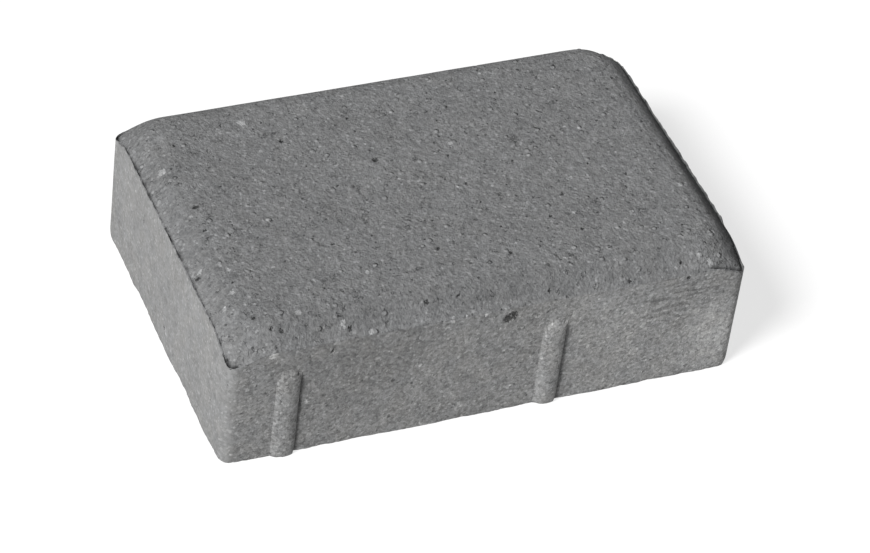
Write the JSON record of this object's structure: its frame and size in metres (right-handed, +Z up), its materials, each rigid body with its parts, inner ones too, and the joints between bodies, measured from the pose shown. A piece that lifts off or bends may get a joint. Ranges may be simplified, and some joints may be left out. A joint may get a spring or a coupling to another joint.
{
  "type": "concrete paving stone",
  "caption": "Rectangular pressed concrete paving stone with a flat tread, soft rolled top edges and half-round spacer ribs on its long faces, for laying on a sand bed.",
  "frame": {"origin": "middle of the bed, the flat underside that lies on the sand", "axes": "+X along the stone, +Y across it, +Z up from the bed to the tread"},
  "size_m": [0.207, 0.14, 0.06],
  "materials": {
    "concrete": "bare grey pressed concrete with fine open grain"
  },
  "bodies": {
    "root": {"paving_stone": "concrete"}
  },
  "joints": []
}
